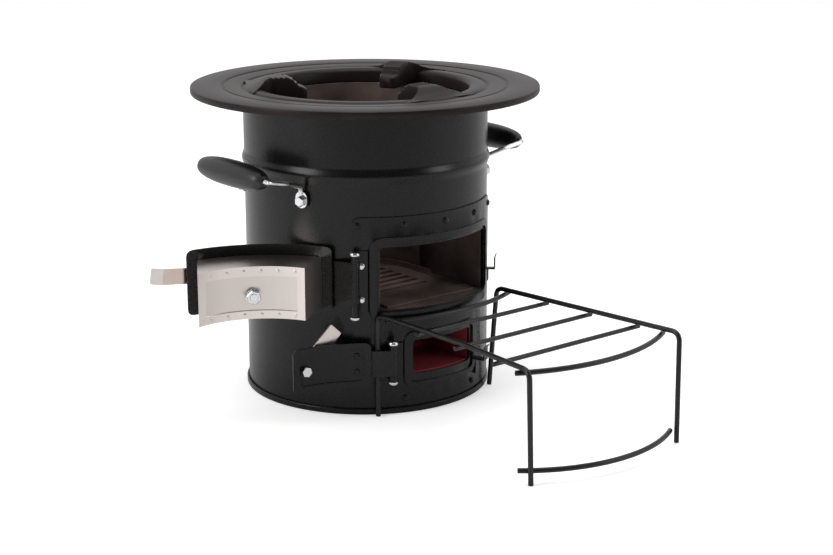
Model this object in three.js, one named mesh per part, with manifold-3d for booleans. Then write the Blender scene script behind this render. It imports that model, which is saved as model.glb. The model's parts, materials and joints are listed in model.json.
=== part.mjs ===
// Rocket stove: round insulated drum with a cast hob plate, a fuel door, an air door
// and a loose wire fuel rack.
// Millimetres, +Z up, origin on the floor under the drum's centre, door openings facing -Y.
// An azimuth is in degrees from the front (-Y), positive towards +X.
import * as THREE from 'three';
import { mergeVertices } from 'three/addons/utils/BufferGeometryUtils.js';
import Module from 'manifold-3d';

const wasm = await Module();
wasm.setup();

// ---------- driving dimensions ----------
const DRUM = { radius: 124.6, wall: 1.0, bottom: 1.6, top: 304.5 };
const BEAD = { z: 239, halfHeight: 9, out: 2.2 };
const PAN = { radius: 127, height: 6, floor: 1.3, bore: 124.95 };
const PLATE = { radius: 177.1, top: 312.1, thickness: 7.2, throat: 105.5 };
const LUG_TOP = 321.5;
const SURROUND = { inner: 124.9, outer: 126.1, halfAngle: 44.5, bottom: 8.5, top: 200.5 };
const FRAME_RADIUS = 128.0;
const HINGE = { radius: 134, barrel: 3.65, pin: 2.0, bore: 2.09 };
const PANEL = { inner: 126.6, outer: 128.1, corner: 6 };
const FIELD_RADIUS = PANEL.outer + 1.3; // outer face of a door panel's raised field
const LEVER = { thickness: 1.5, radius: 130.3, bend: 46, width: 15.8, corner: 1.6 };
const LATCH_BOLT = { radius: 4.0, headRadius: 7, hole: 4.2, leverHole: 4.15 };
const HANDLE = { offset: 22.8, z: 214.5, rod: 2.4, gripX: 164.5, gripZ: 240.3 };
const RISER = { inner: 57, outer: 58.5 };
const HANDLE_AZIMUTHS = [-90, 90].flatMap((side) => [side - HANDLE.offset, side + HANDLE.offset]);

// The two doors, each described in its shut place.
// drumHole, hole, nest, frame: [half width, bottom, top, corner radius] of the openings in the
//   drum and surround, and of the inside and outside of the raised frame
// field: the panel's raised middle; armPath: [azimuth, radius] down the arm's centreline
// barrel, knuckle: [bottom, top] of the whole hinge and of its moving middle
// latch: tilt up from level, slope and end kick of the strip; nut: of the latch bolt
const UPPER = {
  name: 'upper', hingeAzimuth: -43, openAngle: 214,
  halfAngle: 33.3, bottom: 106.5, top: 171.5, panelSteps: 14, frameSteps: 18,
  drumHole: [69.2, 104.6, 171.8, 4], hole: [67.8, 107.5, 170.3, 4],
  nest: [71.4, 105.7, 173.8, 7.6], frame: [76.7, 96.5, 180.4, 11],
  field: { halfAngle: 27.4, bottom: 112, top: 167 },
  barrel: [103.4, 165], knuckle: [115, 157.7], leafSpan: [-43.4, -37.6], leafHeight: [105, 168],
  armPath: [[-41.2, 131.0], [-39, 130.6], [-35.5, 130.4], [-31, 130.4]], armEnd: -23.5,
  pivot: { azimuth: 24.5, z: 143 }, latch: { tilt: 8.6, length: 57.5, slope: 0.26, kick: 2.6 },
  nut: { outer: 126.3, inner: 121.8, flats: 10 },
  keeper: {
    azimuth: 41.6, foot: 110, legTop: 123.4, reach: 133.6, top: 138.4, width: 7, flare: 1.5,
  },
};
const LOWER = {
  name: 'lower', hingeAzimuth: -27.2, openAngle: 201.5,
  halfAngle: 18.07, bottom: 32.3, top: 77.5, panelSteps: 9, frameSteps: 12,
  drumHole: [38.4, 38.2, 75.6, 4], hole: [36.9, 39.5, 74.3, 3.5],
  nest: [41.5, 31.3, 78.5, 6], frame: [46.7, 26.6, 83.4, 9],
  field: { halfAngle: 15.3, bottom: 37.6, top: 72.4 },
  barrel: [36.5, 74.2], knuckle: [42.3, 68.6], leafSpan: [-27.6, -22.1], leafHeight: [37.2, 73.6],
  armPath: [
    [-25.6, 130.6], [-23.8, 129.5], [-22.6, 129.25], [-19.4, 129.25],
    [-18.2, 129.5], [-16.2, 130.3], [-14.6, 130.4],
  ],
  armEnd: -8.6,
  pivot: { azimuth: 11.8, z: 54 }, latch: { tilt: 134, length: 51.4, slope: 0, kick: 0 },
  nut: { outer: 127.6, inner: 123, flats: 9 },
  keeper: {
    azimuth: 24.0, foot: 21.6, legTop: 37.7, reach: 136.1, top: 52.7, width: 9, flare: 2.4,
  },
};

// ---------- meshes and solids ----------
const rad = THREE.MathUtils.degToRad;

// An indexed mesh whose faces are flipped together if they point inwards.
function closedMesh(positions, faces) {
  const corner = (k) => new THREE.Vector3().fromArray(positions, faces[k] * 3);
  let volume = 0;
  for (let i = 0; i < faces.length; i += 3) {
    volume += corner(i).dot(corner(i + 1).cross(corner(i + 2)));
  }
  const geometry = new THREE.BufferGeometry();
  geometry.setAttribute('position', new THREE.Float32BufferAttribute(positions, 3));
  geometry.setIndex(volume < 0 ? faces.reverse() : faces);
  return geometry;
}

function welded(geometry) {
  const bare = new THREE.BufferGeometry();
  bare.setAttribute('position', geometry.getAttribute('position'));
  bare.setIndex(geometry.index);
  return mergeVertices(bare, 1e-4);
}

function toManifold(geometry) {
  const mesh = welded(geometry);
  const index = mesh.index.array;
  const kept = [];
  for (let i = 0; i < index.length; i += 3) {
    const [a, b, c] = index.slice(i, i + 3);
    if (a !== b && b !== c && a !== c) kept.push(a, b, c);
  }
  return new wasm.Manifold(new wasm.Mesh({
    numProp: 3,
    vertProperties: new Float32Array(mesh.attributes.position.array),
    triVerts: new Uint32Array(kept),
  }));
}

function fromManifold(manifold) {
  const mesh = manifold.getMesh();
  const geometry = new THREE.BufferGeometry();
  geometry.setAttribute('position', new THREE.Float32BufferAttribute(mesh.vertProperties, 3));
  geometry.setIndex(Array.from(mesh.triVerts));
  return geometry;
}

const join = (...parts) => fromManifold(parts.map(toManifold).reduce((a, b) => a.add(b)));
const cut = (body, ...cutters) =>
  fromManifold(cutters.map(toManifold).reduce((a, b) => a.subtract(b), toManifold(body)));
const common = (a, b) => fromManifold(toManifold(a).intersect(toManifold(b)));

// A closed profile [[radius, z], ...] turned about Z; points on the axis become poles.
function revolve(profile, sides) {
  const positions = [];
  const faces = [];
  const rings = profile.map(([radius, z]) => {
    const start = positions.length / 3;
    if (radius < 1e-6) {
      positions.push(0, 0, z);
      return { start, step: 0 };
    }
    for (let k = 0; k < sides; k++) {
      const angle = (k / sides) * 2 * Math.PI;
      positions.push(radius * Math.sin(angle), -radius * Math.cos(angle), z);
    }
    return { start, step: 1 };
  });
  rings.forEach((ring, i) => {
    const next = rings[(i + 1) % rings.length];
    for (let k = 0; k < sides; k++) {
      const after = (k + 1) % sides;
      const a = ring.start + ring.step * k;
      const b = ring.start + ring.step * after;
      const c = next.start + next.step * k;
      const d = next.start + next.step * after;
      if (ring.step) faces.push(a, b, c);
      if (next.step) faces.push(b, d, c);
    }
  });
  return closedMesh(positions, faces);
}

// A skin over rings of [x, y, z] points, closed at both ends.
function loft(rings) {
  const sides = rings[0].length;
  const last = (rings.length - 1) * sides;
  const faces = [];
  for (let start = 0; start < last; start += sides) {
    for (let k = 0; k < sides; k++) {
      const a = start + k;
      const b = start + (k + 1) % sides;
      faces.push(a, b, a + sides, b, b + sides, a + sides);
    }
  }
  for (let k = 1; k < sides - 1; k++) faces.push(0, k + 1, k, last, last + k, last + k + 1);
  return closedMesh(rings.flat(2), faces);
}

const polar = (radius, azimuth) =>
  [radius * Math.sin(rad(azimuth)), -radius * Math.cos(rad(azimuth))];
const turn = (geometry, azimuth) => geometry.rotateZ(rad(azimuth));

// A curved box between two radii, two azimuths and two heights.
function sector([inner, outer], [from, to], [bottom, top], steps) {
  const rings = [];
  for (let k = 0; k <= steps; k++) {
    const azimuth = from + (to - from) * k / steps;
    rings.push([[inner, bottom], [outer, bottom], [outer, top], [inner, top]]
      .map(([radius, z]) => [...polar(radius, azimuth), z]));
  }
  return loft(rings);
}

// Points on a circle, angles in degrees from the first axis.
function arc(centreX, centreY, radius, from, to, steps) {
  const points = [];
  for (let k = 0; k <= steps; k++) {
    const angle = rad(from + (to - from) * k / steps);
    points.push([centreX + radius * Math.cos(angle), centreY + radius * Math.sin(angle)]);
  }
  return points;
}

// A rectangle centred on x = 0 with rounded corners, starting with the two on its right.
function roundRect(halfWidth, bottom, top, corner, steps = 3) {
  const x = halfWidth - corner;
  return [[x, bottom + corner, -90], [x, top - corner, 0], [-x, top - corner, 90],
    [-x, bottom + corner, 180]]
    .flatMap(([cornerX, cornerZ, start]) =>
      arc(cornerX, cornerZ, corner, start, start + 90, steps));
}

// An outline in X and Y, from bottom to top.
function alongZ(outline, bottom, top) {
  const shape = new THREE.Shape(outline.map(([x, y]) => new THREE.Vector2(x, y)));
  return new THREE.ExtrudeGeometry(shape, { depth: top - bottom, bevelEnabled: false, steps: 1 })
    .translate(0, 0, bottom);
}
// An outline in X and Z, between two values of y.
const alongY = (outline, from, to) => alongZ(outline, -to, -from).rotateX(Math.PI / 2);
// An outline in X and Z, deep enough to pass through everything at the drum's front.
const throughFront = (outline) => alongY(outline, -145, -60);

const box = ([left, right], [front, back], [bottom, top]) =>
  new THREE.BoxGeometry(right - left, back - front, top - bottom)
    .translate((left + right) / 2, (front + back) / 2, (bottom + top) / 2);
const cylinder = (radius, bottom, top, sides) =>
  revolve([[0, bottom], [radius, bottom], [radius, top], [0, top]], sides);

// A profile [[radius, distance out from the drum's axis], ...] turned about a radial axis.
const radial = (profile, azimuth, z, sides, phase = 0) =>
  turn(revolve(profile.map(([radius, out]) => [radius, -out]), sides)
    .rotateZ(phase).rotateX(-Math.PI / 2).translate(0, 0, z), azimuth);
const radialRod = (radius, inner, outer, ...place) =>
  radial([[0, outer], [radius, outer], [radius, inner], [0, inner]], ...place);
const drill = (azimuth, z, radius, sides = 12) =>
  radialRod(radius, 60, 145, azimuth, z, sides);

// A round wire of eight sides along a path, mitred at its bends.
function wire(points, radius) {
  const sides = 8;
  const path = points.map((point) => new THREE.Vector3(...point));
  const last = path.length - 1;
  let reference = null;
  return loft(path.map((point, i) => {
    const before = point.clone().sub(path[Math.max(i - 1, 0)]).normalize();
    const after = path[Math.min(i + 1, last)].clone().sub(point).normalize();
    const tangent = before.clone().add(after).normalize();
    reference ??= Math.abs(tangent.z) < 0.9
      ? new THREE.Vector3(0, 0, 1) : new THREE.Vector3(1, 0, 0);
    const normal = reference.clone().addScaledVector(tangent, -reference.dot(tangent)).normalize();
    const binormal = tangent.clone().cross(normal);
    reference = normal;
    const bend = after.clone().sub(before);
    const bent = i > 0 && i < last && bend.length() > 1e-3;
    const stretch = bent ? 1 / Math.max(0.5, Math.sqrt((1 + before.dot(after)) / 2)) - 1 : 0;
    bend.normalize();
    const ring = [];
    for (let k = 0; k < sides; k++) {
      const angle = (k + 0.5) / sides * 2 * Math.PI;
      const offset = normal.clone().multiplyScalar(Math.cos(angle) * radius)
        .addScaledVector(binormal, Math.sin(angle) * radius);
      offset.addScaledVector(bend, offset.dot(bend) * stretch);
      ring.push(offset.add(point).toArray());
    }
    return ring;
  }));
}

// A polyline whose inner corners are rounded, one radius for each.
function rounded(points, radii, steps) {
  const corners = radii.map((radius, i) => {
    const corner = new THREE.Vector3(...points[i + 1]);
    const back = new THREE.Vector3(...points[i]).sub(corner);
    const ahead = new THREE.Vector3(...points[i + 2]).sub(corner);
    const reach = Math.min(radius / Math.tan(back.angleTo(ahead) / 2),
      back.length() * 0.49, ahead.length() * 0.49);
    return new THREE.QuadraticBezierCurve3(
      corner.clone().addScaledVector(back.normalize(), reach),
      corner,
      corner.clone().addScaledVector(ahead.normalize(), reach),
    ).getPoints(steps).map((point) => point.toArray());
  });
  return [points[0], ...corners.flat(), points[points.length - 1]];
}

// ---------- materials and pieces ----------
const LOOKS = {
  black: { color: 0x17171a, metalness: 0.35, roughness: 0.42 },
  cast: { color: 0x2b2624, metalness: 0.55, roughness: 0.55 },
  steel: { color: 0xc9c2bd, metalness: 1.0, roughness: 0.35 },
  zinc: { color: 0xd8d8d8, metalness: 1.0, roughness: 0.22 },
  dark: { color: 0x2a2321, metalness: 0.5, roughness: 0.7 },
  red: { color: 0x5a1a1f, metalness: 0.2, roughness: 0.6 },
  fibre: { color: 0xb9ad9a, metalness: 0.0, roughness: 0.95 },
  grip: { color: 0x0d0d0e, metalness: 0.0, roughness: 0.3 },
  wire: { color: 0x121213, metalness: 0.3, roughness: 0.5 },
};
const group = new THREE.Group();
group.name = 'rocket_stove';

function addPiece(name, geometry, look) {
  const faceted = welded(geometry).toNonIndexed();
  faceted.computeVertexNormals();
  const mesh = new THREE.Mesh(faceted, new THREE.MeshStandardMaterial(LOOKS[look]));
  mesh.name = name;
  group.add(mesh);
}

// ---------- drum, base pan and hob plate ----------
function drumShell() {
  const outer = DRUM.radius;
  const inner = outer - DRUM.wall;
  const { z, halfHeight, out } = BEAD;
  const shell = revolve([
    [inner, DRUM.bottom], [outer, DRUM.bottom],
    [outer, z - halfHeight], [outer + out * 0.85, z - 3.5], [outer + out, z],
    [outer + out * 0.85, z + 3.5], [outer, z + halfHeight],
    [outer, DRUM.top], [inner, DRUM.top],
    [inner, z + halfHeight + 0.4], [inner + out * 0.9, z], [inner, z - halfHeight - 0.4],
  ], 48);
  return cut(shell,
    ...[UPPER, LOWER].map((door) => throughFront(roundRect(...door.drumHole))),
    ...HANDLE_AZIMUTHS.map((azimuth) => drill(azimuth, HANDLE.z, 3.1, 8)));
}
addPiece('drum_shell', drumShell(), 'black');
addPiece('base_pan', revolve([
  [0, 0], [PAN.radius - 1, 0], [PAN.radius, 0.9], [PAN.radius, 5.2], [126.4, PAN.height],
  [125.5, PAN.height], [PAN.bore, 5.2], [PAN.bore, PAN.floor], [0, PAN.floor],
], 48), 'black');

// A ribbed tongue on the hob plate, reaching in over the throat.
function lug() {
  const rib = (k) => 0.9 * (k % 2);
  // [radius, half width, underside z, top z], from the nose outwards
  const stations = [[60, 4.2, 298.5, 307.6], [61, 7.2, 297.6, 308.6], [63.5, 9.4, 297.2, 310.2]];
  for (let k = 0; k < 6; k++) {
    stations.push([66.5 + k * 1.9, 10, 297.2 - 0.05 * k, 311.4 + k * 1.75 - rib(k)]);
  }
  for (let k = 0; k < 8; k++) {
    stations.push([78.4 + k * 2.6, 10.2 + k * 0.12, 297.2 + 0.25 * k, LUG_TOP - rib(k + 1)]);
  }
  stations.push(
    [99, 12.5, 299.4, LUG_TOP - 0.6], [103, 16, 300.4, 319.4], [107, 22, 301.4, 316.2],
    [111.5, 30, 302.4, 313.4], [116, 40, 305.3, 312.0], [119.5, 45, 305.3, 311.2],
  );
  return loft(stations.map(([radius, half, bottom, top]) => {
    const chamfer = Math.min(1.4, half * 0.3);
    return [
      [-half + chamfer, bottom], [half - chamfer, bottom],
      [half, bottom + chamfer], [half, top - chamfer],
      [half - chamfer, top], [-half + chamfer, top],
      [-half, top - chamfer], [-half, bottom + chamfer],
    ].map(([x, z]) => [x, -radius, z]);
  }));
}

function hobPlate() {
  const { radius, top, throat } = PLATE;
  const underside = top - PLATE.thickness;
  const disc = revolve([
    [throat, 297.5], [throat + 4.5, 297.5], [throat + 8, 301], [122.9, 301],
    [122.9, underside], [radius - 1.6, underside], [radius, underside + 1.4],
    [radius, top - 1.6], [radius - 1.6, top],
    [146.4, top], [145.2, top - 1.5], [143, top - 0.6], [126.6, top - 1.4], [125.4, top - 3],
    [122.6, top - 3], [120.6, top - 1.2], [114, top - 0.5], [108.5, top - 1.4],
    [throat, top - 4.6],
  ], 48);
  return join(disc, ...[0, 120, -120].map((azimuth) => turn(lug(), azimuth)));
}
addPiece('hob_plate', hobPlate(), 'cast');

// ---------- inside: well, riser, fuel magazine, grate, ash box, air duct, insulation ----------
const MAGAZINE = { halfWidth: 67, bottom: 105, top: 171.6, wall: 1.4, back: -8 };
const DUCT = { halfWidth: 36.9, bottom: 39.3, top: 74.7, wall: 1.3 };
const LINER_RADIUS = 123.2; // how far out the magazine and the duct reach

const tunnel = ({ halfWidth, bottom, top }, grow, front, back) => box(
  [-halfWidth - grow, halfWidth + grow], [front, back], [bottom - grow, top + grow]);

// Keeps what lies between the riser and the drum wall.
const betweenRiserAndDrum = (body) =>
  cut(common(body, cylinder(LINER_RADIUS, 0, 300, 56)), cylinder(RISER.outer + 0.4, 0, 300, 56));

addPiece('burner_well', revolve([
  [59.3, 262.3], [101, 262.3], [104.6, 266], [104.6, 296.8], [103.4, 296.8], [103.4, 266.6],
  [100.4, 263.5], [59.3, 263.5],
], 32), 'dark');

addPiece('riser_tube', cut(
  revolve([[RISER.inner, 114.6], [RISER.outer, 114.6], [RISER.outer, 270], [RISER.inner, 270]], 32),
  box([-54.6, 54.6], [-80, MAGAZINE.back], [100, MAGAZINE.top - MAGAZINE.wall]),
), 'dark');

// a square tunnel between the drum's opening and the riser
addPiece('fuel_magazine', betweenRiserAndDrum(cut(
  tunnel(MAGAZINE, 0, -130, MAGAZINE.back),
  tunnel(MAGAZINE, -MAGAZINE.wall, -140, MAGAZINE.back - MAGAZINE.wall),
)), 'dark');

// A cylinder on a door's hinge axis.
function hingeCylinder(door, radius, bottom, top, sides = 14) {
  return cylinder(radius, bottom, top, sides)
    .translate(...polar(HINGE.radius, door.hingeAzimuth), 0);
}

// A tray with a rim, straight sides and a round back, and slots across its floor.
function fuelGrate() {
  const outerHalf = 55.6;
  const innerHalf = 53.4;
  const outline = (half, front) => [[-half, front], [half, front], ...arc(0, 0, half, 0, 180, 14)];
  const hollow = (bottom) => alongZ(outline(innerHalf, -110), bottom, 120);
  const tray = cut(alongZ(outline(outerHalf, -104), 106.8, 108.9), hollow(108.2));
  // behind the door box's sweep the rim stands taller
  const tallRim = cut(alongZ(outline(outerHalf, -60), 107.5, 114.4), hollow(100),
    hingeCylinder(UPPER, 158.4, 100, 120, 96));
  const slots = [];
  for (let k = 0; k < 7; k++) {
    slots.push(box([-36, 36], [-56 + k * 13.6, -51 + k * 13.6], [100, 112]));
  }
  return cut(join(tray, tallRim), ...slots);
}
addPiece('fuel_grate', fuelGrate(), 'dark');

addPiece('ash_box', cut(
  cylinder(RISER.outer, 37, 106.2, 32),
  cylinder(57.2, 38.4, 110, 32),
  tunnel(DUCT, -DUCT.wall, -80, -10),
), 'red');
addPiece('air_duct', betweenRiserAndDrum(
  cut(tunnel(DUCT, 0, -130, -40), tunnel(DUCT, -DUCT.wall, -140, -30)),
), 'red');
addPiece('insulation', cut(
  revolve([[0, 8], [121.2, 8], [121.2, 262], [59.4, 262], [59.4, 36.6], [0, 36.6]], 32),
  box([-67.4, 67.4], [-130, -7.6], [104.5, 172.1]),
  tunnel(DUCT, 0.5, -130, 0),
), 'fibre');

// ---------- door surround with its two raised frames ----------
function doorSurround() {
  const { inner, outer, halfAngle, bottom, top } = SURROUND;
  const halfWidth = outer * Math.sin(rad(halfAngle));
  const sheet = common(
    sector([inner, outer], [-halfAngle, halfAngle], [bottom, top], 22),
    throughFront(roundRect(halfWidth, bottom, top, 6, 2)),
  );
  const frames = [UPPER, LOWER].map((door) => {
    const [half, low, high] = door.frame;
    const span = THREE.MathUtils.radToDeg(Math.asin(half / FRAME_RADIUS)) + 1;
    const blank = sector([outer - 0.6, FRAME_RADIUS], [-span, span], [low - 1, high + 1],
      door.frameSteps);
    return cut(common(blank, throughFront(roundRect(...door.frame))),
      throughFront(roundRect(...door.nest)));
  });
  return cut(join(sheet, ...frames),
    ...[UPPER, LOWER].map((door) => throughFront(roundRect(...door.hole))));
}
addPiece('door_surround', doorSurround(), 'black');

// Rivets along the surround's top edge and by its foot: [azimuth, z].
const RIVETS = {
  top: [[-42.2, 192.3], [-21.2, 192.3], [0, 191.5], [21.2, 191.5], [42.2, 191.5]],
  foot: [[-20.6, 15.6], [19.8, 15.6]],
};
// [radius, height above the surround]
const RIVET_PROFILE = [[0, 0.15], [3.3, 0.15], [3.1, 1.1], [1.9, 1.9], [0, 2.1]];
for (const [row, places] of Object.entries(RIVETS)) {
  places.forEach(([azimuth, z], k) => {
    const profile = RIVET_PROFILE.map(([radius, height]) => [radius, SURROUND.outer + height]);
    addPiece(`surround_rivet_${row}_${k + 1}`, radial(profile, azimuth, z, 10), 'black');
  });
}

// ---------- hinges ----------
const hingeBore = (door, [bottom, top]) => hingeCylinder(door, HINGE.bore, bottom - 5, top + 5, 16);

// A fixed knuckle and the web that ties it to the leaf.
function fixedKnuckle(door, bottom, top) {
  const web = alongZ([
    [-2.9, -HINGE.radius + 2.2], [-2.9, -HINGE.radius + 3.2], [-0.8, -127.2], [5.2, -126.9],
    [5.2, -127.8], [2.4, -129.2], [2.9, -HINGE.radius + 2.2],
  ], bottom, top);
  return join(hingeCylinder(door, HINGE.barrel, bottom, top), turn(web, door.hingeAzimuth));
}

function hingePin(door) {
  const [bottom, top] = door.barrel;
  // [radius, distance beyond the barrel's end]
  const cap = [[0, 4.6], [2.6, 4.3], [4.7, 2.6], [5.1, 1.2], [5.0, 0.2], [HINGE.pin, 0.2]];
  return revolve([
    ...cap.map(([radius, beyond]) => [radius, bottom - beyond]),
    ...cap.map(([radius, beyond]) => [radius, top + beyond]).reverse(),
  ], 12).translate(...polar(HINGE.radius, door.hingeAzimuth), 0);
}

for (const door of [UPPER, LOWER]) {
  const leaf = sector([SURROUND.outer + 0.25, 127.8], door.leafSpan, door.leafHeight, 3);
  const gap = 0.3;
  addPiece(door.name + '_hinge_leaf', cut(
    join(leaf, fixedKnuckle(door, door.barrel[0], door.knuckle[0] - gap),
      fixedKnuckle(door, door.knuckle[1] + gap, door.barrel[1])),
    hingeBore(door, door.barrel),
  ), 'black');
  addPiece(door.name + '_hinge_pin', hingePin(door), 'zinc');
}
[152.6, 118.8].forEach((z, k) => addPiece('upper_hinge_screw_' + (k + 1), radial(
  [[0, 127.95], [3.5, 127.95], [3.4, 128.7], [2.2, 129.15], [0, 129.2]], -40.5, z, 10,
), 'zinc'));

// ---------- doors ----------
// Adds a piece described in the shut place, swung to the open place it has at rest.
function addOpened(door, name, geometry, look) {
  const [x, y] = polar(HINGE.radius, door.hingeAzimuth);
  const swung = geometry.translate(-x, -y, 0).rotateZ(-rad(door.openAngle)).translate(x, y, 0);
  addPiece(name, swung, look);
}

// Moving knuckle and the strap that carries the panel.
function arm(door) {
  const half = 0.75;
  const steps = 4;
  // centreline: off the barrel's inner side, beside the frame, then over the raised field
  const line = [[0, -HINGE.radius + 2.9]];
  for (const [azimuth, radius] of door.armPath) {
    line.push(polar(radius, azimuth - door.hingeAzimuth));
  }
  const [start] = door.armPath.at(-1);
  for (let k = 1; k <= steps; k++) {
    const azimuth = start + (door.armEnd - start) * k / steps;
    line.push(polar(FIELD_RADIUS + 0.25 + half, azimuth - door.hingeAzimuth));
  }
  const offsetLine = (distance) => line.map(([x, y], i) => {
    const before = line[Math.max(i - 1, 0)];
    const after = line[Math.min(i + 1, line.length - 1)];
    const alongX = after[0] - before[0];
    const alongLineY = after[1] - before[1];
    const scale = distance / Math.hypot(alongX, alongLineY);
    return [x + alongLineY * scale, y - alongX * scale];
  });
  const strap = alongZ([...offsetLine(half), ...offsetLine(-half).reverse()], ...door.knuckle);
  return cut(
    join(hingeCylinder(door, HINGE.barrel, ...door.knuckle), turn(strap, door.hingeAzimuth)),
    hingeBore(door, door.knuckle),
  );
}

function panel(door) {
  const { field, halfAngle, bottom, top, panelSteps } = door;
  const { inner, outer, corner } = PANEL;
  const halfWidth = outer * Math.sin(rad(halfAngle));
  const fieldHalf = outer * Math.sin(rad(field.halfAngle));
  const rim = cut(
    common(sector([inner, outer], [-halfAngle, halfAngle], [bottom, top], panelSteps),
      throughFront(roundRect(halfWidth, bottom, top, corner))),
    throughFront(roundRect(fieldHalf - 1.2, field.bottom + 1.2, field.top - 1.2, 5)),
  );
  const raised = common(
    sector([outer - 0.25, FIELD_RADIUS], [-field.halfAngle - 1, field.halfAngle + 1],
      [field.bottom - 1, field.top + 1], panelSteps),
    throughFront(roundRect(fieldHalf, field.bottom, field.top, corner)),
  );
  return join(rim, raised);
}

// A round-headed bolt through the panel: head outside, hex nut inside.
function latchBolt({ pivot, nut }) {
  const { radius, headRadius } = LATCH_BOLT;
  const seat = LEVER.radius + LEVER.thickness + 0.15;
  const nutRadius = nut.flats / Math.sqrt(3);
  return join(
    radialRod(radius, nut.outer - 0.5, seat + 0.5, pivot.azimuth, pivot.z, 12),
    radial([
      [0, seat + 3.4], [headRadius * 0.5, seat + 3.1], [headRadius * 0.92, seat + 1.8],
      [headRadius, seat], [0, seat],
    ], pivot.azimuth, pivot.z, 12),
    radialRod(nutRadius, nut.inner, nut.outer, pivot.azimuth, pivot.z, 6, 0.3),
  );
}

// A latch strip on its pivot; the upper one bends towards the drum and kicks out at its end.
function latchLever({ pivot, latch }) {
  const half = LEVER.width / 2;
  const flatEnd = 14;
  const inside = -LEVER.radius;
  const bendY = inside + latch.slope * (LEVER.bend - flatEnd);
  const line = [
    [-half, inside], [flatEnd, inside], [LEVER.bend, bendY], [latch.length, bendY - latch.kick],
  ];
  const outerLine = line.map(([x, y]) => [x, y - LEVER.thickness]).reverse();
  const outline = [
    ...roundRect(latch.length, -half, half, LEVER.corner).slice(0, 8),
    ...arc(0, 0, half, 90, 270, 8),
  ];
  const strip = cut(
    common(alongZ([...line, ...outerLine], -half, half), throughFront(outline)),
    drill(0, 0, LATCH_BOLT.leverHole),
  );
  return turn(strip.rotateY(-rad(latch.tilt)).translate(0, 0, pivot.z), pivot.azimuth);
}

function addArmAndPanel(door, armHoles, panelHoles) {
  const pivotHole = drill(door.pivot.azimuth, door.pivot.z, LATCH_BOLT.hole);
  addOpened(door, door.name + '_door_arm', cut(arm(door), ...armHoles), 'black');
  addOpened(door, door.name + '_door_panel', cut(panel(door), pivotHole, ...panelHoles), 'black');
}

function addLatch(door) {
  addOpened(door, door.name + '_latch_bolt', latchBolt(door), 'zinc');
  addOpened(door, door.name + '_latch_lever', latchLever(door), 'steel');
}

// The sheet box on the fuel door's inner side; its curved face has a window.
const BOX = {
  faceRadius: 82, left: -42, right: 58.5, outerHalf: 60, outerRadius: 126.3,
  bottom: 109.2, top: 161, wall: 1.2,
};
const BOX_BOLT = { azimuth: 4.6, z: 131.5, radius: 3.9, hole: 4.2 };

function addDoorBox() {
  const { faceRadius, left, right, outerHalf, bottom, top, wall } = BOX;
  const { azimuth, z } = BOX_BOLT;
  const backOfFace = faceRadius + wall;
  const curve = (radius, from, to, steps) => {
    const points = [];
    for (let k = 0; k <= steps; k++) {
      const x = from + (to - from) * k / steps;
      points.push([x, -Math.sqrt(radius * radius - x * x)]);
    }
    return points;
  };
  const outer = alongZ([
    ...curve(BOX.outerRadius, -outerHalf, outerHalf, 8),
    ...curve(faceRadius, left, right, 10).reverse(),
  ], bottom, top);
  const inner = alongZ([
    ...curve(135, -outerHalf + wall - 2.6, outerHalf - wall - 0.2, 8),
    ...curve(backOfFace, left + wall, right - wall, 10).reverse(),
  ], bottom + wall, top - wall);
  const window = box([left + 7, right - 7], [-90, -50], [117.3, 151.3]);
  addOpened(UPPER, 'door_box_frame', cut(outer, inner, window), 'steel');

  const plate = alongZ([
    ...curve(backOfFace + 1.3, left + 4, right - 3, 10),
    ...curve(backOfFace + 0.2, left + 4, right - 3, 10).reverse(),
  ], bottom + wall + 0.4, top - wall - 0.4);
  addOpened(UPPER, 'door_box_plate', cut(plate, drill(azimuth, z, BOX_BOLT.hole)), 'steel');

  const seat = FIELD_RADIUS;
  addOpened(UPPER, 'door_box_bolt', join(
    radialRod(BOX_BOLT.radius, backOfFace - 7.5, seat + 1, azimuth, z, 12),
    radial([[0, seat + 3.3], [4, seat + 3.1], [7, seat + 1.6], [7.4, seat + 0.2],
      [0, seat + 0.2]], azimuth, z, 12),
  ), 'zinc');

  const flange = radialRod(8, backOfFace - 1.7, backOfFace - 0.5, azimuth, z, 16);
  const hex = radial([
    [0, backOfFace - 1.1], [7.5, backOfFace - 1.1], [7.5, backOfFace - 6],
    [6.4, backOfFace - 6.8], [0, backOfFace - 6.8],
  ], azimuth, z, 6, 0.26);
  addOpened(UPPER, 'door_box_nut', cut(join(flange, hex), drill(azimuth, z, 4.0)), 'zinc');
}

const ARM_SCREWS = { azimuth: -11.6, heights: [64.3, 48], radius: 2, hole: 2.2 };
const armScrewHoles = () =>
  ARM_SCREWS.heights.map((z) => drill(ARM_SCREWS.azimuth, z, ARM_SCREWS.hole));

addArmAndPanel(UPPER, [], [drill(BOX_BOLT.azimuth, BOX_BOLT.z, BOX_BOLT.hole)]);
addDoorBox();
addLatch(UPPER);
addArmAndPanel(LOWER, armScrewHoles(), armScrewHoles());
ARM_SCREWS.heights.forEach((z, k) => addOpened(LOWER, 'lower_arm_screw_' + (k + 1), join(
  radialRod(ARM_SCREWS.radius, 127.6, 131.9, ARM_SCREWS.azimuth, z, 8),
  radial([[0, 127.65], [3.3, 127.65], [2.6, 126.4], [0, 126.1]], ARM_SCREWS.azimuth, z, 10),
), 'black'));
addLatch(LOWER);

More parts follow.
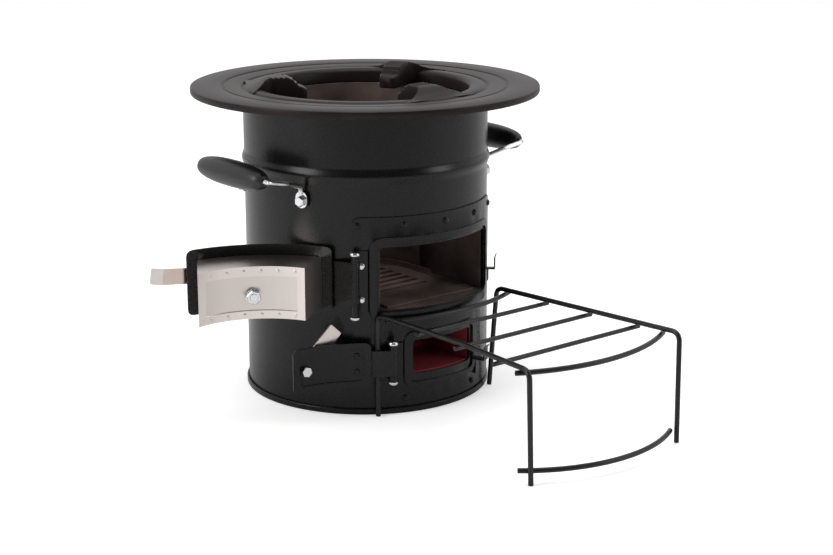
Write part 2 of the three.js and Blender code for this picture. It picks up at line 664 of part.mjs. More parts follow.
// ---------- keepers: bent hooks on the surround that the latch strips drop into ----------
function keeper({ azimuth, foot, legTop, reach, top, width, flare }) {
  const legBack = -SURROUND.outer - 0.25;
  const legFront = legBack - 1.5;
  const lipBack = -reach;
  const lipFront = lipBack - 1.2;
  // side view in y and z
  const hook = alongZ([
    [legBack, foot], [legBack, legTop], [lipBack, legTop], [lipBack, top - 4],
    [lipBack - flare, top], [lipFront - flare, top], [lipFront, top - 4],
    [lipFront, legTop - 1.5], [legFront, legTop - 1.5], [legFront, foot],
  ], -width / 2, width / 2);
  return turn(hook.rotateX(Math.PI / 2).rotateZ(Math.PI / 2), azimuth);
}
for (const door of [UPPER, LOWER]) addPiece(door.name + '_keeper', keeper(door.keeper), 'black');

// ---------- side handles ----------
function handleRod(side) {
  const { gripX, gripZ, z, offset } = HANDLE;
  const half = (end) => [
    [side * 119.2, end * 50, 221.6], [side * 119.6, end * 51, 229.2],
    [side * 139, end * 56, 235], [side * gripX, end * 60, gripZ],
  ];
  const path = [...half(-1), [side * gripX, 0, gripZ], ...half(1).reverse()];
  const rod = wire(rounded(path, [6, 12, 4, 1, 4, 12, 6], 2), HANDLE.rod);
  const azimuths = [side * 90 - offset, side * 90 + offset];
  const eyes = azimuths.map((azimuth) =>
    turn(alongY(roundRect(6.4, z - 7, z + 9.5, 6), -129.2, -126.4), azimuth));
  return cut(join(rod, ...eyes), ...azimuths.map((azimuth) => drill(azimuth, z, 3.3)));
}

function handleGrip(side) {
  const halfLength = 53;
  // [radius, place along the grip as a share of its half length]
  const profile = [
    [2.6, -1], [6.2, -1], [8.2, -0.9], [10.6, -0.68], [12.3, -0.4], [13, 0],
    [12.3, 0.4], [10.6, 0.68], [8.2, 0.9], [6.2, 1], [2.6, 1],
  ].map(([radius, share]) => [radius, share * halfLength]);
  return radial(profile, 0, HANDLE.gripZ, 16).translate(side * HANDLE.gripX, 0, 0);
}

for (const [name, side] of [['left', -1], ['right', 1]]) {
  addPiece('handle_rod_' + name, handleRod(side), 'zinc');
  addPiece('handle_grip_' + name, handleGrip(side), 'grip');
}
HANDLE_AZIMUTHS.forEach((azimuth, k) => addPiece('handle_bolt_' + (k + 1), join(
  radialRod(2.9, 121.8, 129.5, azimuth, HANDLE.z, 8),
  radial([[0, 134], [4.5, 134], [5.6, 133], [5.6, 129.4], [0, 129.4]], azimuth, HANDLE.z, 6),
), 'zinc'));

// ---------- loose fuel rack of welded wire, standing in front of the fuel opening ----------
const RACK = { wire: 2.5, bar: 2.2, z: 103.7 };
addPiece('rack_side_left', wire(rounded([
  [-72.25, -109.15, 0.1], [-72.25, -109.15, RACK.z], [-70.8, -130, RACK.z],
  [-70.5, -236, RACK.z], [-82.5, -335.5, RACK.z + 2.3], [-82.6, -339.8, 0.2],
], [8, 20, 30, 10], 3), RACK.wire), 'wire');
addPiece('rack_side_right', wire(rounded([
  [78.1, -106, 0.3], [86.5, -107, RACK.z], [105.6, -341, RACK.z + 2.3], [98.5, -348.8, 0.4],
], [9, 10], 4), RACK.wire), 'wire');

// bars across: [left x, right x, y, z]
[
  [-74.5, 99, -170, RACK.z - 5],
  [-75, 104, -226.5, RACK.z - 5],
  [-82, 108, -287, RACK.z - 3.95],
].forEach(([left, right, y, z], k) =>
  addPiece('rack_bar_' + (k + 1), wire([[left, y, z], [right, y, z]], RACK.bar), 'wire'));

// level arcs: name, centre x, centre y, radius, first and last azimuth about the centre, z
for (const [name, x, y, radius, from, to, z] of [
  ['rack_rear_arc', 12, 69.3, 202, -23.4, 25.4, RACK.z - 5.35],
  ['rack_front_arc_top', 11, -150, 194, -29.4, 30.2, RACK.z - 3.5],
  ['rack_front_arc_foot', 14.4, -208.8, 157, -40.7, 30.8, 12],
]) {
  const path = arc(x, y, radius, from - 90, to - 90, 10).map((point) => [...point, z]);
  addPiece(name, wire(path, RACK.wire), 'wire');
}

export default group;
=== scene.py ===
"""Looks of a rocket stove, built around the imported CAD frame.

The scene is in metres, +Z up. The drum stands on z = 0 about the Z axis, and its front,
with the doors and the rack, faces -Y. Pieces are drawn in mm and scaled by MM.
An azimuth is in degrees about Z, from -Y towards +X.
"""
import json
import math

import bmesh
import bpy
import numpy as np
from mathutils import Matrix, Vector


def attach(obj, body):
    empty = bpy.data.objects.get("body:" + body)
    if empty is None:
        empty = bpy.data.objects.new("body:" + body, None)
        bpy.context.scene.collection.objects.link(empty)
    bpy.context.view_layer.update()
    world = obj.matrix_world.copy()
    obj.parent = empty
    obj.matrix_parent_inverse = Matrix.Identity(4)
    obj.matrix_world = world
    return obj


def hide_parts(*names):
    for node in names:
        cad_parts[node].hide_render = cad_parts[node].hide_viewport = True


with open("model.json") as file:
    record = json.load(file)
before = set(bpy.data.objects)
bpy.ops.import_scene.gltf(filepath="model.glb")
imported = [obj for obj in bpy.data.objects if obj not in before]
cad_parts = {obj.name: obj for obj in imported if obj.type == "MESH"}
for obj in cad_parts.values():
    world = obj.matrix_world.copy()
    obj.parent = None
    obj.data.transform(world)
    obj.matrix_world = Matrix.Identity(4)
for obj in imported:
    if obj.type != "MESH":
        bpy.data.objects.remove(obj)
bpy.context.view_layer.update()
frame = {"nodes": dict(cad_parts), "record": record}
NODES = frame["nodes"]
RECORD = frame["record"]
BODY = {node: body for body, nodes in RECORD["behaviour"]["bodies"].items() for node in nodes}
SLOT = {part["node"]: part["material_slot"] for part in RECORD["subparts"]}

MM = 0.001
WELD = 2e-6  # vertices closer than this (m) are merged
SHARP_ANGLE = 34.0  # degrees; steeper edges stay sharp


# ---------------------------------------------------------------- materials
def srgb(*channels):
    """Linear RGBA from 0-255 sRGB channels."""
    unit = [c / 255.0 for c in channels]
    return (*(c / 12.92 if c <= 0.04045 else ((c + 0.055) / 1.055) ** 2.4 for c in unit), 1.0)


def add_node(tree, kind, values=None):
    node = tree.nodes.new(kind)
    for socket, value in (values or {}).items():
        node.inputs[socket].default_value = value
    return node


def material(name, base, rough, grain_scale, metal=0.0, spec=0.5, rough_var=0.0, bump=0.0,
             stretch=(1, 1, 1), tint=None, tint_scale=18.0, tint_amount=0.5):
    """A fine noise varies roughness by +-rough_var and lifts the surface by bump metres;
    a softer noise blends base towards tint."""
    mat = bpy.data.materials.new(name)
    mat.use_nodes = True
    tree = mat.node_tree
    link = tree.links.new
    shader = tree.nodes["Principled BSDF"]
    for socket, value in {"Base Color": base, "Roughness": rough, "Metallic": metal,
                          "Specular IOR Level": spec, "Coat Roughness": 0.25}.items():
        shader.inputs[socket].default_value = value
    coords = add_node(tree, "ShaderNodeTexCoord")
    mapping = add_node(tree, "ShaderNodeMapping", {"Scale": stretch})
    link(coords.outputs["Object"], mapping.inputs["Vector"])
    grain = add_node(tree, "ShaderNodeTexNoise", {"Scale": grain_scale, "Detail": 3.0})
    link(mapping.outputs["Vector"], grain.inputs["Vector"])
    if rough_var:
        spread = add_node(tree, "ShaderNodeMapRange",
                          {"To Min": rough - rough_var, "To Max": rough + rough_var})
        link(grain.outputs["Fac"], spread.inputs["Value"])
        link(spread.outputs["Result"], shader.inputs["Roughness"])
    if tint:
        patches = add_node(tree, "ShaderNodeTexNoise", {"Scale": tint_scale, "Detail": 4.0})
        link(mapping.outputs["Vector"], patches.inputs["Vector"])
        blend = tree.nodes.new("ShaderNodeMix")
        blend.data_type = "RGBA"
        blend.inputs["A"].default_value = base
        blend.inputs["B"].default_value = tint
        contrast = add_node(tree, "ShaderNodeMapRange",
                            {"From Min": 0.35, "From Max": 0.65, "To Max": tint_amount})
        link(patches.outputs["Fac"], contrast.inputs["Value"])
        link(contrast.outputs["Result"], blend.inputs["Factor"])
        link(blend.outputs["Result"], shader.inputs["Base Color"])
    if bump:
        relief = add_node(tree, "ShaderNodeBump", {"Strength": 0.6, "Distance": bump})
        link(grain.outputs["Fac"], relief.inputs["Height"])
        link(relief.outputs["Normal"], shader.inputs["Normal"])
    return mat


BRUSHED = dict(metal=1.0, rough_var=0.02, grain_scale=500, stretch=(1, 1, 0.06))

# material slot -> material
LOOKS = {
    "black_paint": material("satin_black", base=srgb(11, 11, 11), rough=0.27, rough_var=0.03,
                            grain_scale=900, bump=0.00001, spec=0.27),
    "cast_plate": material("seasoned_cast", base=srgb(36, 27, 26), rough=0.42, rough_var=0.06,
                           grain_scale=1100, bump=0.00006, spec=0.15,
                           tint=srgb(26, 20, 20), tint_scale=30, tint_amount=0.8),
    "brushed_steel": material("brushed_stainless", base=srgb(218, 209, 204), rough=0.3,
                              **BRUSHED),
    "zinc": material("bright_zinc", base=srgb(212, 212, 214), rough=0.18, metal=1.0,
                     rough_var=0.05, grain_scale=300),
    "burner_metal": material("burnt_steel", base=srgb(118, 102, 96), rough=0.5, metal=0.15,
                             rough_var=0.1, grain_scale=120, bump=0.00005,
                             tint=srgb(66, 54, 50), tint_amount=0.9),
    "duct_metal": material("red_oxide", base=srgb(150, 58, 64), rough=0.42, metal=0.05,
                           rough_var=0.08, grain_scale=150, bump=0.00004,
                           tint=srgb(108, 40, 46), tint_amount=0.8),
    "insulation": material("mineral_fibre", base=srgb(120, 110, 98), rough=0.95,
                           grain_scale=260, bump=0.0004),
    "grip_plastic": material("black_grip", base=srgb(14, 14, 15), rough=0.4, rough_var=0.04,
                             grain_scale=700, bump=0.00001),
    "rack_wire": material("black_wire", base=srgb(13, 13, 14), rough=0.36, rough_var=0.05,
                          grain_scale=900, bump=0.00002, spec=0.4),
}
# nodes with their own material: the door box's recessed plate is a little rougher than its
# frame, and its colour is a touch darker as painted shade in the recess
OWN_LOOKS = {
    "door_box_plate": material("stainless_plate_painted_shade", base=srgb(208, 200, 195), rough=0.32,
                               **BRUSHED),
}


# ---------------------------------------------------------------- objects
placed = set()


def smooth(mesh, sharp_angle=SHARP_ANGLE):
    mesh.shade_smooth()
    mesh.set_sharp_from_angle(angle=math.radians(sharp_angle))


def add_object(name, bm):
    """Link a new object made from bm, which is freed."""
    bmesh.ops.recalc_face_normals(bm, faces=bm.faces)
    mesh = bpy.data.meshes.new(name)
    bm.to_mesh(mesh)
    bm.free()
    smooth(mesh)
    obj = bpy.data.objects.new(name, mesh)
    bpy.context.scene.collection.objects.link(obj)
    return obj


def place(obj, node):
    """Give obj its material and let it stand in for the CAD node."""
    obj.data.materials.clear()
    obj.data.materials.append(OWN_LOOKS.get(node) or LOOKS[SLOT[node]])
    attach(obj, BODY[node])
    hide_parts(node)
    placed.add(node)


def add_piece(node, bm):
    place(add_object("look_" + node, bm), node)


def boolean(obj, cutter, operation="DIFFERENCE"):
    """Apply cutter to obj for good, and remove the cutter."""
    modifier = obj.modifiers.new("b", "BOOLEAN")
    modifier.operation = operation
    modifier.solver = "EXACT"
    modifier.object = cutter
    depsgraph = bpy.context.evaluated_depsgraph_get()
    mesh = bpy.data.meshes.new_from_object(obj.evaluated_get(depsgraph))
    obj.modifiers.clear()
    old = obj.data
    obj.data = mesh
    bpy.data.meshes.remove(old)
    bpy.data.objects.remove(cutter)


def clean_cut(obj, sharp_angle=SHARP_ANGLE):
    """Weld and shade a mesh that booleans have changed."""
    bm = bmesh.new()
    bm.from_mesh(obj.data)
    bmesh.ops.remove_doubles(bm, verts=bm.verts, dist=WELD)
    bm.to_mesh(obj.data)
    bm.free()
    smooth(obj.data, sharp_angle)


# ---------------------------------------------------------------- shapes
def polar(radius, azimuth, cx=0, cy=0):
    angle = math.radians(azimuth)
    return cx + radius * math.sin(angle), cy - radius * math.cos(angle)


def lathe(profile, segments, center=(0, 0)):
    """A closed profile of (radius, z) in mm, turned about Z."""
    bm = bmesh.new()
    cx, cy = center
    rings = []
    for radius, z in profile:
        if radius < 1e-6:
            rings.append([bm.verts.new((cx * MM, cy * MM, z * MM))])
            continue
        angles = [2 * math.pi * k / segments for k in range(segments)]
        rings.append([bm.verts.new(((cx + radius * math.sin(a)) * MM,
                                    (cy - radius * math.cos(a)) * MM, z * MM)) for a in angles])
    for a, b in zip(rings, rings[1:] + rings[:1]):
        if len(a) == 1 and len(b) == 1:
            continue
        for k in range(segments):
            k2 = (k + 1) % segments
            if len(a) == 1:
                bm.faces.new((a[0], b[k], b[k2]))
            elif len(b) == 1:
                bm.faces.new((a[k], b[0], a[k2]))
            else:
                bm.faces.new((a[k], b[k], b[k2], a[k2]))
    return bm


def loft(rings):
    """A capped skin over rings of points in metres."""
    bm = bmesh.new()
    rows = [[bm.verts.new(point) for point in ring] for ring in rings]
    count = len(rows[0])
    for a, b in zip(rows, rows[1:]):
        for k in range(count):
            k2 = (k + 1) % count
            bm.faces.new((a[k], a[k2], b[k2], b[k]))
    bm.faces.new(rows[0][::-1])
    bm.faces.new(rows[-1])
    return bm


def prism(start, end):
    """A solid between two matching outlines of (x, y, z) in mm."""
    bm = bmesh.new()
    low, high = [[bm.verts.new([c * MM for c in point]) for point in outline]
                 for outline in (start, end)]
    bm.faces.new(low)
    bm.faces.new(high[::-1])
    for k in range(len(low)):
        k2 = (k + 1) % len(low)
        bm.faces.new((low[k2], low[k], high[k], high[k2]))
    return bm


def rounded_rectangle(x0, x1, z0, z1, r, steps):
    """Outline of (x, z) with steps + 1 points on each corner."""
    corners = ((x1 - r, z0 + r, -90), (x1 - r, z1 - r, 0),
               (x0 + r, z1 - r, 90), (x0 + r, z0 + r, 180))
    outline = []
    for cx, cz, start in corners:
        for k in range(steps + 1):
            a = math.radians(start + 90 * k / steps)
            outline.append((cx + r * math.cos(a), cz + r * math.sin(a)))
    return outline


def block_cutter(x0, x1, y0, y1, z0, z1, corner):
    """A box along Y, rounded in X and Z, mm."""
    outline = rounded_rectangle(x0, x1, z0, z1, corner, steps=8)
    return add_object("cutter", prism(*([(x, y, z) for x, z in outline] for y in (y0, y1))))


def curved_box(inner_x, inner_radius, outer_x, outer_radius, z0, z1):
    """A prism between two arcs about the drum's axis, on its -Y side, mm."""
    def arc_points(radius, x0, x1, steps):
        xs = [x0 + (x1 - x0) * k / steps for k in range(steps + 1)]
        return [(x, -math.sqrt(radius ** 2 - x ** 2)) for x in xs]

    outline = (arc_points(outer_radius, *outer_x, 48)
               + arc_points(inner_radius, *inner_x[::-1], 72))
    return prism(*([(x, y, z) for x, y in outline] for z in (z0, z1)))


def tube(points, radius, sides=16, chamfer=0.35):
    """A round wire through points in mm, closed, with chamfered ends."""
    points = [Vector(p) for p in points]
    stations = []
    for before, p, after in zip(points[:1] + points, points, points[1:] + points[-1:]):
        tangent = ((p - before).normalized() + (after - p).normalized()).normalized()
        stations.append((p, tangent, radius))
    first, t0, _ = stations[0]
    last, t1, _ = stations[-1]
    narrow = radius - chamfer
    stations = ([(first, t0, narrow), (first + t0 * chamfer, t0, radius)] + stations[1:-1]
                + [(last - t1 * chamfer, t1, radius), (last, t1, narrow)])
    # each ring takes its start direction from the one before, so the wire doesn't twist
    across = Vector((0, 0, 1)) if abs(t0.z) < 0.9 else Vector((1, 0, 0))
    angles = [2 * math.pi * k / sides for k in range(sides)]
    rings = []
    for p, tangent, size in stations:
        across = (across - tangent * across.dot(tangent)).normalized()
        other = tangent.cross(across)
        rings.append([(p + (across * math.cos(a) + other * math.sin(a)) * size) * MM
                      for a in angles])
    return loft(rings)


def rounded_path(points, radii, steps=10):
    """A path with its inner corners bent, one radius for each."""
    path = [Vector(points[0])]
    for before, corner, after, radius in zip(points, points[1:], points[2:], radii):
        p = Vector(corner)
        a = Vector(before) - p
        b = Vector(after) - p
        reach = min(radius / math.tan(a.angle(b) / 2), a.length * 0.49, b.length * 0.49)
        start = p + a.normalized() * reach
        end = p + b.normalized() * reach
        for k in range(steps + 1):
            t = k / steps
            path.append(start * (1 - t) ** 2 + p * (2 * t * (1 - t)) + end * t * t)
    path.append(Vector(points[-1]))
    return path


def arc_path(cx, cy, radius, start, end, z, steps=28):
    return [(*polar(radius, start + (end - start) * k / steps, cx, cy), z)
            for k in range(steps + 1)]


# ---------------------------------------------------------------- drum, pan and grips
def drum_shell():
    """Open shell with a raised bead and two front openings."""
    outer, inner = 124.6, 123.6
    bottom, top = 1.6, 304.5
    bead_z, bead_half = 239, 9

    def bead(radius, height, ts):
        return [(radius + height * math.cos(math.pi / 2 * t) ** 2, bead_z + bead_half * t)
                for t in ts]

    profile = [(inner, bottom), (outer, bottom)] + bead(outer, 2.2, np.linspace(-1, 1, 17))
    profile += [(outer, top), (inner, top)] + bead(inner, 2.0, np.linspace(1, -1, 13))
    drum = add_object("look_drum_shell", lathe(profile, 180))
    # openings: half width, bottom, top
    for half, z0, z1 in ((69.2, 104.6, 171.8), (38.4, 38.2, 75.6)):
        boolean(drum, block_cutter(-half, half, -140, -60, z0, z1, corner=4))
    clean_cut(drum)
    place(drum, "drum_shell")


def base_pan():
    """Shallow pan with a rolled hem."""
    radius, hem, floor_top = 127, 1.05, 1.3
    middle = radius - hem
    rim = [(middle + hem * math.cos(a), 5.0 + hem * math.sin(a))
           for a in np.linspace(0, math.pi, 9)]
    profile = [(0, 0), (radius - 1, 0), (radius - 0.3, 0.3), (radius, 1.0)]
    profile += rim + [(middle - hem, floor_top), (0, floor_top)]
    add_piece("base_pan", lathe(profile, 180))


def handle_grips():
    """Swelling turned grips along Y, one on each side of the drum."""
    half, bore, end_radius, swell = 53, 2.6, 5.2, 7.9
    profile = [(bore, -half)]
    profile += [(end_radius + swell * math.sqrt(1 - abs(t) ** 2.3), half * t)
                for t in np.linspace(-1, 1, 33)]
    profile += [(bore, half)]
    lay_down = Matrix.Rotation(-math.pi / 2, 4, "X")
    for side, sign in (("left", -1), ("right", 1)):
        bm = lathe(profile, 56)
        move = Matrix.Translation((sign * 0.1645, 0, 0.2403))
        bmesh.ops.transform(bm, matrix=move @ lay_down, verts=bm.verts)
        add_piece("handle_grip_" + side, bm)


drum_shell()
base_pan()
handle_grips()

# ---------------------------------------------------------------- rack
RACK_Z = 103.7
RAIL_RADIUS, BAR_RADIUS = 2.5, 2.2

# side wires: node, points, bend radii
RACK_SIDES = [
    ("rack_side_left", [(-72.25, -109.15, 0.1), (-72.25, -109.15, RACK_Z),
                        (-70.8, -130, RACK_Z), (-70.5, -236, RACK_Z),
                        (-82.5, -335.5, RACK_Z + 2.3), (-82.6, -339.8, 0.2)], (8, 20, 30, 10)),
    ("rack_side_right", [(78.1, -106, 0.3), (86.5, -107, RACK_Z),
                         (105.6, -341, RACK_Z + 2.3), (98.5, -348.8, 0.4)], (9, 10)),
]
# straight cross bars: left x, right x, y, drop below RACK_Z
RACK_BARS = [(-74.5, 99, -170, 5), (-75, 104, -226.5, 5), (-82, 108, -287, 3.95)]
# bowed cross wires: node, centre x, centre y, radius, start and end azimuth, z
RACK_ARCS = [
    ("rack_rear_arc", 12, 69.3, 202, -23.4, 25.4, RACK_Z - 5.35),
    ("rack_front_arc_top", 11, -150, 194, -29.4, 30.2, RACK_Z - 3.5),
    ("rack_front_arc_foot", 14.4, -208.8, 157, -40.7, 30.8, 12),
]
for node, points, radii in RACK_SIDES:
    add_piece(node, tube(rounded_path(points, radii), RAIL_RADIUS))
for k, (x0, x1, y, drop) in enumerate(RACK_BARS, 1):
    z = RACK_Z - drop
    add_piece(f"rack_bar_{k}", tube([(x0, y, z), (x1, y, z)], BAR_RADIUS))
for node, *arc in RACK_ARCS:
    add_piece(node, tube(arc_path(*arc), RAIL_RADIUS))

# ---------------------------------------------------------------- rivets, screws, hinge pins
# node stem, head radius, y of the head's base, head height, places as (azimuth, z)
DOMED_HEADS = [
    ("surround_rivet_top", 3.3, -126.25, 2.0,
     [(-42.2, 192.3), (-21.2, 192.3), (0, 191.5), (21.2, 191.5), (42.2, 191.5)]),
    ("surround_rivet_foot", 3.3, -126.25, 2.0, [(-20.6, 15.6), (19.8, 15.6)]),
    ("upper_hinge_screw", 3.5, -127.95, 1.3, [(-40.5, 152.6), (-40.5, 118.8)]),
]
HINGE_RADIUS = 134
UPPER_HINGE_AZIMUTH = -43
# node stem, azimuth, bottom z, top z
HINGES = [("upper", UPPER_HINGE_AZIMUTH, 103.4, 165), ("lower", -27.2, 36.5, 74.2)]


def domed_head(radius, base_y, height, azimuth, z):
    """A dome turned about a radial axis, rising outwards (-Y before it is swung round)."""
    profile = [(0, base_y)]
    profile += [(radius * math.cos(a), base_y - height * math.sin(a))
                for a in np.linspace(0, math.pi / 2, 8)[:-1]]
    profile += [(0, base_y - height)]
    bm = lathe(profile, 36)
    matrix = (Matrix.Rotation(math.radians(azimuth), 4, "Z")
              @ Matrix.Translation((0, 0, z * MM)) @ Matrix.Rotation(-math.pi / 2, 4, "X"))
    bmesh.ops.transform(bm, matrix=matrix, verts=bm.verts)
    return bm


def hinge_pin(azimuth, bottom, top):
    """An upright pin with a domed head at each end."""
    gap, rim, dome = 0.2, 0.9, 3.5
    # pin end: radius, distance beyond the hinge
    head = [(2, gap), (5.0, gap)]
    head += [(5.1 * math.cos(a), gap + rim + dome * math.sin(a))
             for a in np.linspace(0, math.pi / 2, 10)[:-1]]
    head += [(0, gap + rim + dome)]
    profile = [(r, bottom - d) for r, d in head[::-1]] + [(r, top + d) for r, d in head]
    return lathe(profile, 40, polar(HINGE_RADIUS, azimuth))


for stem, radius, base_y, height, places in DOMED_HEADS:
    for k, (azimuth, z) in enumerate(places, 1):
        add_piece(f"{stem}_{k}", domed_head(radius, base_y, height, azimuth, z))
for stem, azimuth, bottom, top in HINGES:
    add_piece(stem + "_hinge_pin", hinge_pin(azimuth, bottom, top))

# ---------------------------------------------------------------- hob plate
THROAT = 105.5  # radius of the central hole
PLATE_TOP = 312.1
RIM_UNDER = PLATE_TOP - 7.2

# half section of the disc: (radius, z)
DISC = [
    # spigot and underside
    (THROAT, 297.5), (THROAT + 4.5, 297.5), (THROAT + 8, 301), (122.9, 301),
    (122.9, RIM_UNDER), (175.5, RIM_UNDER),
    # outer edge
    (176.6, RIM_UNDER + 0.4), (177.1, RIM_UNDER + 1.4), (177.1, PLATE_TOP - 1.6),
    (176.7, PLATE_TOP - 0.5), (175.6, PLATE_TOP),
    # outer groove
    (147.2, PLATE_TOP), (146.4, PLATE_TOP - 0.25), (145.6, PLATE_TOP - 1.2),
    (144.6, PLATE_TOP - 1.6), (143.6, PLATE_TOP - 1.2), (142.8, PLATE_TOP - 0.5),
    (141.9, PLATE_TOP - 0.45),
    # inner groove
    (127.6, PLATE_TOP - 1.3), (126.6, PLATE_TOP - 1.5), (125.6, PLATE_TOP - 2.6),
    (124.2, PLATE_TOP - 3.2), (122.8, PLATE_TOP - 2.7), (121.2, PLATE_TOP - 1.4),
    # inner lip
    (119.5, PLATE_TOP - 0.8), (114, PLATE_TOP - 0.5), (110.5, PLATE_TOP - 0.8),
    (108.2, PLATE_TOP - 1.6), (106.4, PLATE_TOP - 3), (THROAT, PLATE_TOP - 4.6),
]
# lug sections from the tip outwards: (radius, half width, bottom z, top z)
LUG = [
    (60, 4.2, 298.5, 307.6), (60.4, 5.9, 298.0, 308.0), (61, 7.2, 297.6, 308.6),
    (62.2, 8.5, 297.4, 309.4), (63.5, 9.4, 297.2, 310.2),
    # stepped rise, then the ribbed level top
    *((66.5 + k * 1.9, 10, 297.2 - 0.05 * k, 311.4 + k * 1.75 - 1.3 * (k % 2))
      for k in range(6)),
    *((78.4 + k * 2.6, 10.2 + k * 0.12, 297.2 + 0.25 * k, 321.5 - 1.3 * ((k + 1) % 2))
      for k in range(8)),
    # flare into the disc
    (99, 12.5, 299.4, 320.9), (103, 16, 300.4, 319.4), (107, 22, 301.4, 316.2),
    (111.5, 30, 302.4, 313.4), (116, 40, 305.3, 312.0), (119.5, 45, 305.3, 311.2),
]


def lug(azimuth):
    rings = []
    for radius, half, z0, z1 in LUG:
        corner = min(1.6, half * 0.3, (z1 - z0) * 0.35)
        outline = rounded_rectangle(-half, half, z0, z1, corner, steps=3)
        rings.append([(x * MM, -radius * MM, z * MM) for x, z in outline])
    bm = loft(rings)
    turn = Matrix.Rotation(math.radians(azimuth), 3, "Z")
    bmesh.ops.rotate(bm, cent=(0, 0, 0), matrix=turn, verts=bm.verts)
    return add_object("lug", bm)


def hob_plate():
    plate = add_object("look_hob_plate", lathe(DISC, 192))
    for azimuth in (0, 120, -120):
        boolean(plate, lug(azimuth), "UNION")
    clean_cut(plate, sharp_angle=32)
    place(plate, "hob_plate")


hob_plate()


# ---------------------------------------------------------------- door box frame
def dimples():
    """Low domes in two rows on the strips above and below the window."""
    radius = 82.05
    bm = bmesh.new()
    flatten = Matrix.Diagonal((0.0018, 0.0006, 0.0018, 1.0))
    for z in (156.3, 113.3):
        for x in range(-33, 48, 16):
            move = Matrix.Translation(Vector((x, -math.sqrt(radius ** 2 - x * x), z)) * MM)
            turn = Matrix.Rotation(math.asin(x / radius), 4, "Z")
            bmesh.ops.create_uvsphere(bm, u_segments=16, v_segments=10, radius=1.0,
                                      matrix=move @ turn @ flatten)
    return add_object("dimples", bm)


def door_box_frame():
    """A windowed box, drawn with the door shut and then swung open about the upper hinge."""
    wall = 1.2
    x0, x1, face_radius, z0, z1 = -42, 58.5, 82, 109.2, 161
    box = add_object("look_door_box_frame",
                     curved_box((x0, x1), face_radius, (-60, 60), 126.3, z0, z1))
    hollow = curved_box((x0 + wall, x1 - wall), face_radius + wall, (-61.4, 58.6), 135,
                        z0 + wall, z1 - wall)
    boolean(box, add_object("hollow", hollow))
    boolean(box, block_cutter(-35, 51.5, -90, -50, 117.3, 151.3, corner=1.2))
    boolean(box, dimples(), "UNION")
    hinge = Vector((*polar(HINGE_RADIUS, UPPER_HINGE_AZIMUTH), 0)) * MM
    swing = Matrix.Rotation(math.radians(-214), 4, "Z")
    box.data.transform(Matrix.Translation(hinge) @ swing @ Matrix.Translation(-hinge))
    clean_cut(box, sharp_angle=28)
    place(box, "door_box_frame")


door_box_frame()

# ---------------------------------------------------------------- pieces kept from the CAD
# edge bevels in metres
BEVEL = 0.0002
BEVELS = {"upper_latch_lever": 0.0003, "lower_latch_lever": 0.0003, "door_surround": 0.0005,
          "upper_door_panel": 0.0005, "lower_door_panel": 0.0004, "door_box_nut": 0.0004}


def from_cad(node):
    """The CAD shape, welded, with flat areas merged and edges softened."""
    bm = bmesh.new()
    bm.from_mesh(NODES[node].data)
    bmesh.ops.remove_doubles(bm, verts=bm.verts, dist=WELD)
    bmesh.ops.dissolve_limit(bm, angle_limit=math.radians(0.4), verts=bm.verts,
                             edges=bm.edges, delimit=set())
    obj = add_object("look_" + node, bm)
    bevel = obj.modifiers.new("edge", "BEVEL")
    bevel.width = BEVELS.get(node, BEVEL)
    bevel.segments = 2
    bevel.limit_method = "ANGLE"
    bevel.angle_limit = math.radians(SHARP_ANGLE)
    bevel.harden_normals = True
    place(obj, node)


for node in sorted(NODES):
    if node not in placed:
        from_cad(node)

# ---------------------------------------------------------------- stage
# viewer's frame: x to the right, y away from the viewer, turned from the world's by VIEW
VIEW = math.radians(38.2)
scene = bpy.context.scene


def from_viewer(x, y):
    return (x * math.cos(VIEW) + y * math.sin(VIEW), -x * math.sin(VIEW) + y * math.cos(VIEW))


def studio_world():
    """White to the camera; for lighting, dim behind the viewer and bright ahead."""
    world = bpy.data.worlds.new("studio")
    scene.world = world
    world.use_nodes = True
    tree = world.node_tree
    link = tree.links.new
    background = tree.nodes["Background"]
    background.inputs["Color"].default_value = (1, 1, 1, 1)
    coords = add_node(tree, "ShaderNodeTexCoord")
    ahead = tree.nodes.new("ShaderNodeVectorMath")
    ahead.operation = "DOT_PRODUCT"
    ahead.inputs[1].default_value = (*from_viewer(0, 1), 0.0)
    link(coords.outputs["Generated"], ahead.inputs[0])
    ramp = tree.nodes.new("ShaderNodeMapRange")
    ramp.interpolation_type = "SMOOTHSTEP"
    for socket, value in {"From Min": -0.75, "From Max": 0.55,
                          "To Min": 0.14, "To Max": 0.95}.items():
        ramp.inputs[socket].default_value = value
    link(ahead.outputs["Value"], ramp.inputs["Value"])
    rays = add_node(tree, "ShaderNodeLightPath")
    strength = add_node(tree, "ShaderNodeMix", {"B": 1.0})
    link(rays.outputs["Is Camera Ray"], strength.inputs["Factor"])
    link(ramp.outputs["Result"], strength.inputs["A"])
    link(strength.outputs["Result"], background.inputs["Strength"])


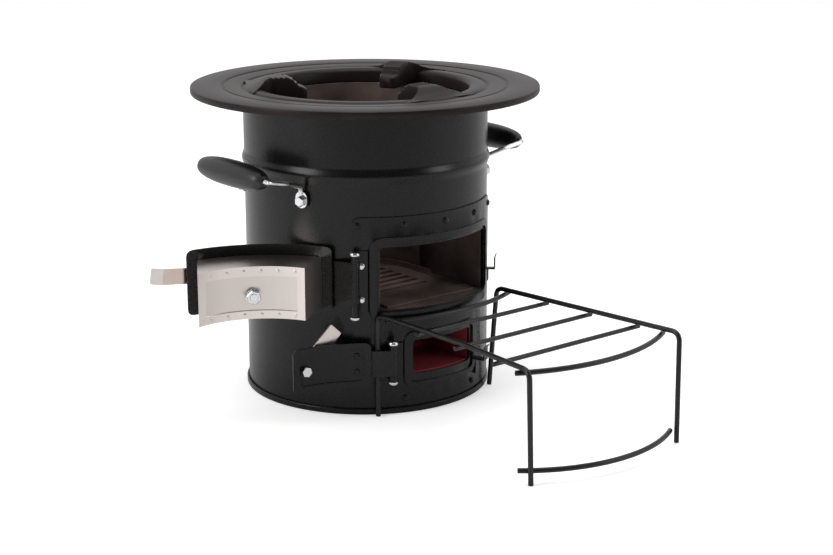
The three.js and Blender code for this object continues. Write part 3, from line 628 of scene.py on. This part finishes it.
def floor_material():
    """Pale matt, with a glow that is stronger to the camera."""
    mat = bpy.data.materials.new("pale_floor")
    mat.use_nodes = True
    tree = mat.node_tree
    link = tree.links.new
    matt = tree.nodes["Principled BSDF"]
    matt.inputs["Base Color"].default_value = (0.86, 0.86, 0.86, 1)
    matt.inputs["Roughness"].default_value = 0.9
    matt.inputs["Specular IOR Level"].default_value = 0.1
    glow = add_node(tree, "ShaderNodeEmission", {"Color": (1, 1, 1, 1)})
    rays = add_node(tree, "ShaderNodeLightPath")
    strength = add_node(tree, "ShaderNodeMapRange", {"To Min": 0.05, "To Max": 0.42})
    link(rays.outputs["Is Camera Ray"], strength.inputs["Value"])
    link(strength.outputs["Result"], glow.inputs["Strength"])
    total = add_node(tree, "ShaderNodeAddShader")
    link(matt.outputs["BSDF"], total.inputs[0])
    link(glow.outputs["Emission"], total.inputs[1])
    link(total.outputs["Shader"], tree.nodes["Material Output"].inputs["Surface"])
    return mat


def studio_floor():
    mat = floor_material()
    bm = bmesh.new()
    corners = ((-60.0, -40.0), (60.0, -40.0), (-60.0, 60.0), (60.0, 60.0))
    a, b, c, d = [bm.verts.new((*from_viewer(x, y), -0.0002)) for x, y in corners]
    bm.faces.new((a, b, d, c))
    floor = add_object("studio_floor", bm)
    floor.data.materials.append(mat)


def area_light(name, location, target, width, height, power):
    data = bpy.data.lights.new(name, "AREA")
    data.energy = power
    data.shape = "RECTANGLE"
    data.size = width
    data.size_y = height
    light = bpy.data.objects.new(name, data)
    scene.collection.objects.link(light)
    light.location = location
    aim = Vector(target) - Vector(location)
    light.rotation_euler = aim.to_track_quat("-Z", "Y").to_euler()


def add_camera():
    side, back, height = 0.00506, 1.7668, 0.5829
    pitch_down = math.radians(15.077)
    yaw = math.radians(-1.5219)
    data = bpy.data.cameras.new("camera")
    data.lens = 75.51
    data.sensor_width = 36.0
    camera = bpy.data.objects.new("camera", data)
    scene.collection.objects.link(camera)
    camera.location = (*from_viewer(side, -back), height)
    x, y = from_viewer(-math.sin(yaw), math.cos(yaw))
    look = Vector((x * math.cos(pitch_down), y * math.cos(pitch_down), -math.sin(pitch_down)))
    camera.rotation_mode = "QUATERNION"
    camera.rotation_quaternion = look.to_track_quat("-Z", "Y")
    scene.camera = camera


studio_world()
studio_floor()
area_light("key_left", location=(-2.3, 0.3, 1.3), target=(0, 0, 0.2),
           width=1.0, height=1.6, power=32)
area_light("fill_right", location=(1.5, -2.2, 1.25), target=(0, -0.1, 0.2),
           width=0.9, height=1.2, power=13)
area_light("top_soft", location=(0.1, 0.1, 2.6), target=(0, 0, 0.2),
           width=1.6, height=1.6, power=26)
add_camera()
scene.view_settings.view_transform = "Standard"
